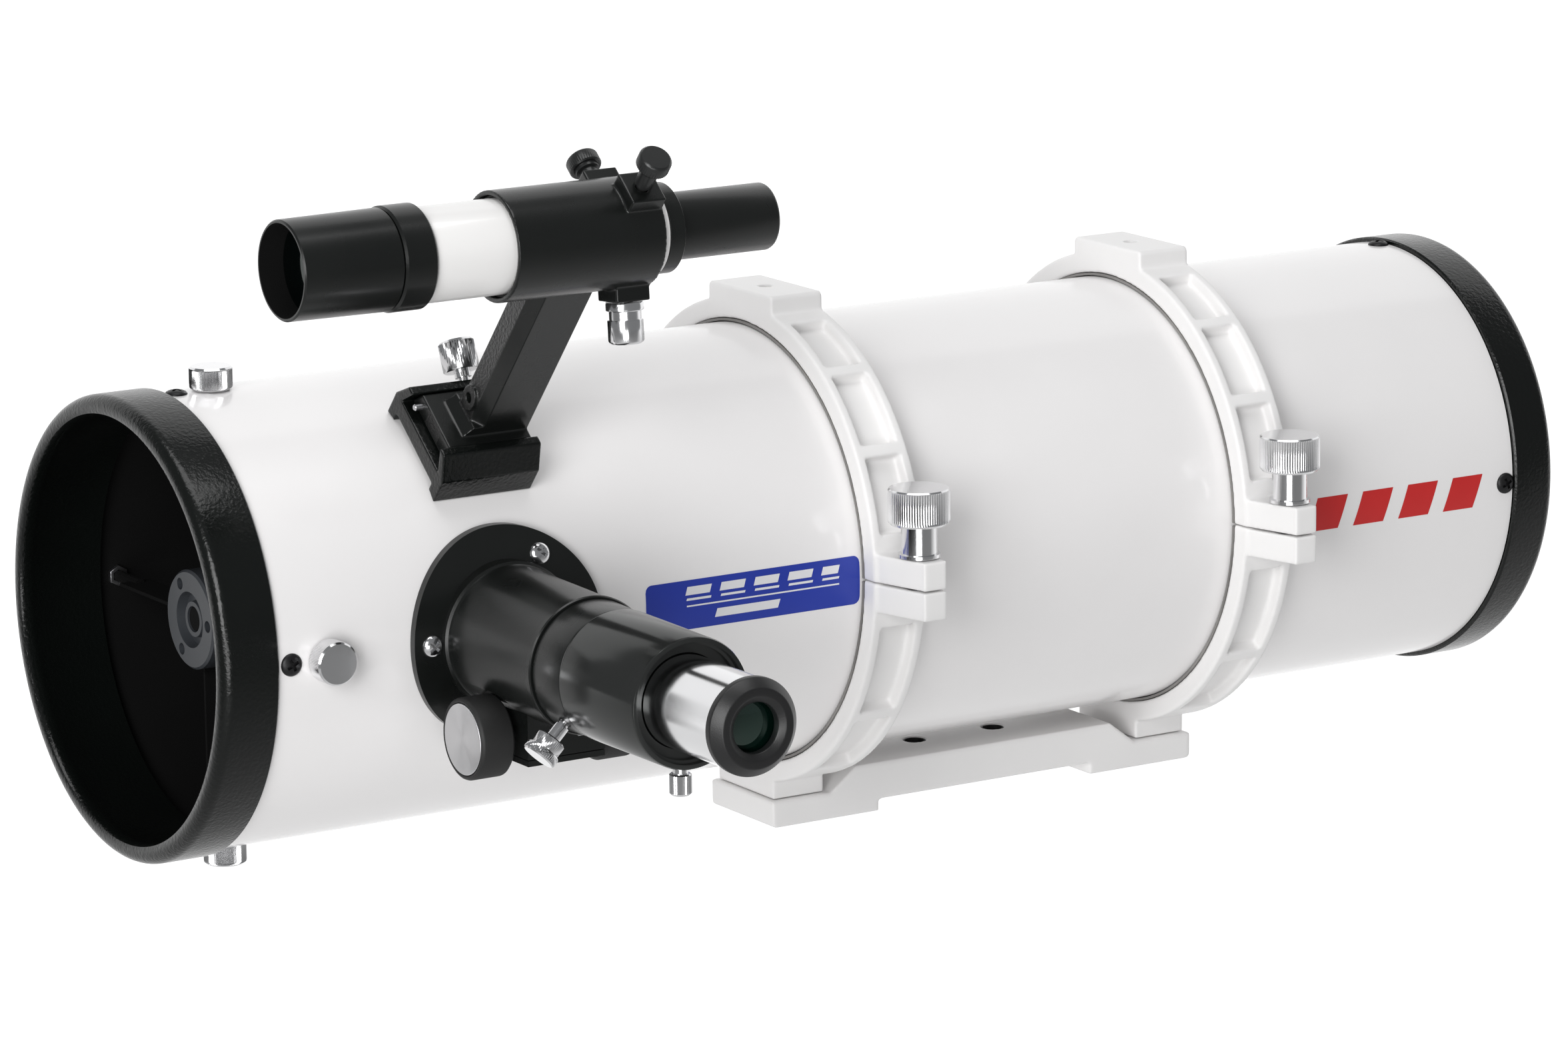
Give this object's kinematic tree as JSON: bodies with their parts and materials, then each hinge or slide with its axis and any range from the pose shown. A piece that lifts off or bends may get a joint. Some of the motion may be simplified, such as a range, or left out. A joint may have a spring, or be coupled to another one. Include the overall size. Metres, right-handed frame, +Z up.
{
  "type": "newtonian reflector telescope",
  "caption": "Reflector telescope tube in hinged tube rings on a mounting plate, with rack focuser, eyepiece, finder and adjustable mirrors.",
  "frame": {"origin": "middle of the mounting plate's raised bar, on its underside, where a mount head's flat face meets it", "axes": "+X along the optical axis towards the mirror end, -Y towards the focuser, +Z up from the plate to the tube"},
  "size_m": [0.5655, 0.3459, 0.2785],
  "materials": {
    "white_tube": "white gloss enamel, matt black inside",
    "white_casting": "white satin paint on a casting",
    "white_finder_tube": "white gloss enamel",
    "black_casting": "glossy hammered black paint on a casting",
    "black_turned": "satin black anodised, turned",
    "black_plastic": "satin black moulded plastic",
    "black_rubber": "matt black rubber",
    "felt_liner": "dark self-adhesive felt",
    "chrome_part": "bright chrome plate, knurled rims",
    "steel_part": "zinc-plated steel",
    "blackened_steel": "black oxide steel",
    "coated_glass": "polished with a green coating",
    "mirror_glass": "aluminised front face on ground glass"
  },
  "bodies": {
    "saddle": {"mounting_plate": "white_casting", "plate_bolt_front": "steel_part", "plate_bolt_rear": "steel_part", "ring_lower_front": "white_casting", "ring_lower_rear": "white_casting", "ring_liner_lower_front": "felt_liner", "ring_liner_lower_rear": "felt_liner", "ring_hinge_pin_front": "steel_part", "ring_hinge_pin_rear": "steel_part"},
    "ring_top_front": {"ring_upper_front": "white_casting", "ring_liner_upper_front": "felt_liner"},
    "ring_top_rear": {"ring_upper_rear": "white_casting", "ring_liner_upper_rear": "felt_liner"},
    "clamp_front": {"clamp_screw_front": "chrome_part"},
    "clamp_rear": {"clamp_screw_rear": "chrome_part"},
    "tube": {"main_tube": "white_tube", "front_end_ring": "black_casting", "rear_end_ring": "black_casting", "primary_mirror": "mirror_glass", "mirror_cell": "black_turned", "spider_hub": "black_turned", "spider_vane_top": "blackened_steel", "spider_vane_bottom": "blackened_steel", "spider_vane_near": "blackened_steel", "spider_vane_far": "blackened_steel", "diagonal_holder": "black_turned", "diagonal_mirror": "mirror_glass", "focuser_body": "black_casting", "pinion_cover": "black_casting", "finder_shoe": "black_casting"},
    "nut_top": {"spider_nut_top": "chrome_part"},
    "nut_bottom": {"spider_nut_bottom": "chrome_part"},
    "nut_near": {"spider_nut_near": "chrome_part"},
    "nut_far": {"spider_nut_far": "chrome_part"},
    "collimation_1": {"collimation_screw_1": "chrome_part"},
    "collimation_2": {"collimation_screw_2": "chrome_part"},
    "collimation_3": {"collimation_screw_3": "chrome_part"},
    "sliding_tube": {"drawtube": "black_turned", "focus_rack": "steel_part", "eyepiece_adapter": "black_turned"},
    "focus_drive": {"pinion_shaft": "steel_part", "focus_knob_rear": "black_rubber", "focus_knob_front": "black_rubber"},
    "lock_screw": {"adapter_lock_screw": "chrome_part"},
    "set_screw": {"eyepiece_set_screw": "chrome_part"},
    "eyepiece": {"eyepiece_barrel": "chrome_part", "eyecup": "black_plastic", "eye_lens": "coated_glass"},
    "shoe_lock": {"shoe_screw": "chrome_part"},
    "finder_holder": {"finder_bracket": "black_casting", "plunger_housing": "chrome_part"},
    "finder_scope": {"finder_tube": "white_finder_tube", "finder_eyepiece": "black_plastic"},
    "finder_front": {"finder_cell": "black_plastic", "finder_objective": "coated_glass"},
    "finder_lock": {"finder_lock_ring": "black_plastic"},
    "outer_adjuster": {"adjuster_outer": "blackened_steel"},
    "side_adjuster": {"adjuster_side": "blackened_steel"},
    "spring_pin": {"plunger_pin": "chrome_part"}
  },
  "joints": [
    {"name": "tube_turn", "type": "hinge", "parent": "saddle", "child": "tube", "pos_m": [0, 0, 0.0995], "axis": [1, 0, 0], "continuous": true},
    {"name": "ring_open_front", "type": "hinge", "parent": "saddle", "child": "ring_top_front", "pos_m": [-0.08075, 0.096, 0.0995], "axis": [-1, 0, 0], "range_deg": [0, 100]},
    {"name": "ring_open_rear", "type": "hinge", "parent": "saddle", "child": "ring_top_rear", "pos_m": [0.08075, 0.096, 0.0995], "axis": [-1, 0, 0], "range_deg": [0, 100]},
    {"name": "clamp_turn_front", "type": "hinge", "parent": "ring_top_front", "child": "clamp_front", "pos_m": [-0.08075, -0.101, 0.0995], "axis": [0, 0, 1], "range_deg": [0, 1440]},
    {"name": "clamp_turn_rear", "type": "hinge", "parent": "ring_top_rear", "child": "clamp_rear", "pos_m": [0.08075, -0.101, 0.0995], "axis": [0, 0, 1], "range_deg": [0, 1440]},
    {"name": "spider_nut_turn_top", "type": "hinge", "parent": "tube", "child": "nut_top", "pos_m": [-0.306, 0, 0.0995], "axis": [0, 0, 1], "range_deg": [0, 720]},
    {"name": "spider_nut_turn_bottom", "type": "hinge", "parent": "tube", "child": "nut_bottom", "pos_m": [-0.306, 0, 0.0995], "axis": [0, 0, -1], "range_deg": [0, 720]},
    {"name": "spider_nut_turn_near", "type": "hinge", "parent": "tube", "child": "nut_near", "pos_m": [-0.306, 0, 0.0995], "axis": [0, -1, 0], "range_deg": [0, 720]},
    {"name": "spider_nut_turn_far", "type": "hinge", "parent": "tube", "child": "nut_far", "pos_m": [-0.306, 0, 0.0995], "axis": [0, 1, 0], "range_deg": [0, 720]},
    {"name": "collimation_turn_1", "type": "hinge", "parent": "tube", "child": "collimation_1", "pos_m": [0.2, -0.04763, 0.127], "axis": [1, 0, 0], "range_deg": [0, 720]},
    {"name": "collimation_turn_2", "type": "hinge", "parent": "tube", "child": "collimation_2", "pos_m": [0.2, 0, 0.0445], "axis": [1, 0, 0], "range_deg": [0, 720]},
    {"name": "collimation_turn_3", "type": "hinge", "parent": "tube", "child": "collimation_3", "pos_m": [0.2, 0.04763, 0.127], "axis": [1, 0, 0], "range_deg": [0, 720]},
    {"name": "focus", "type": "slide", "parent": "tube", "child": "sliding_tube", "axis": [0, -1, 0], "range_m": [0, 0.03]},
    {"name": "focus_knobs", "type": "hinge", "parent": "tube", "child": "focus_drive", "pos_m": [-0.237, -0.105, 0.0715], "axis": [1, 0, 0], "range_deg": [0, 430]},
    {"name": "lock_screw_turn", "type": "hinge", "parent": "sliding_tube", "child": "lock_screw", "pos_m": [-0.237, -0.1472, 0.0995], "axis": [-0.7071, 0, -0.7071], "range_deg": [0, 720]},
    {"name": "set_screw_turn", "type": "hinge", "parent": "sliding_tube", "child": "set_screw", "pos_m": [-0.237, -0.1957, 0.0995], "axis": [0, 0, -1], "range_deg": [0, 720]},
    {"name": "eyepiece_slide", "type": "slide", "parent": "sliding_tube", "child": "eyepiece", "axis": [0, -1, 0], "range_m": [0, 0.028]},
    {"name": "shoe_screw_turn", "type": "hinge", "parent": "tube", "child": "shoe_lock", "pos_m": [-0.233, -0.04943, 0.17893], "axis": [0, 0.3897, 0.9209], "range_deg": [0, 720]},
    {"name": "finder_slide", "type": "slide", "parent": "tube", "child": "finder_holder", "axis": [1, 0, 0], "range_m": [0, 0.036]},
    {"name": "finder_tilt", "type": "hinge", "parent": "finder_holder", "child": "finder_scope", "pos_m": [-0.258, -0.12184, 0.24215], "axis": [0, 0.7604, 0.6494], "range_deg": [-1, 1]},
    {"name": "adjuster_outer_drive", "type": "slide", "parent": "finder_holder", "child": "outer_adjuster", "axis": [0, 0.6494, -0.7604], "range_m": [-0.0009, 0.0009]},
    {"name": "plunger_slide", "type": "slide", "parent": "finder_holder", "child": "spring_pin", "axis": [0, -0.0785, -0.9969], "range_m": [-0.0007, 0.0007]},
    {"name": "adjuster_side_turn", "type": "hinge", "parent": "finder_holder", "child": "side_adjuster", "pos_m": [-0.213, -0.12184, 0.24215], "axis": [0, 0.7604, 0.6494], "range_deg": [-180, 180]},
    {"name": "finder_focus_turn", "type": "hinge", "parent": "finder_scope", "child": "finder_front", "pos_m": [-0.3, -0.12184, 0.24215], "axis": [1, 0, 0], "range_deg": [-180, 180]},
    {"name": "finder_lock_turn", "type": "hinge", "parent": "finder_scope", "child": "finder_lock", "pos_m": [-0.3, -0.12184, 0.24215], "axis": [1, 0, 0], "range_deg": [-180, 180]}
  ],
  "couplings": [
    {"joint": "focus_knobs", "follows": "focus", "rad_per_m": 250},
    {"joint": "adjuster_outer_drive", "follows": "finder_tilt", "m_per_rad": 0.045},
    {"joint": "plunger_slide", "follows": "finder_tilt", "m_per_rad": 0.0318}
  ]
}
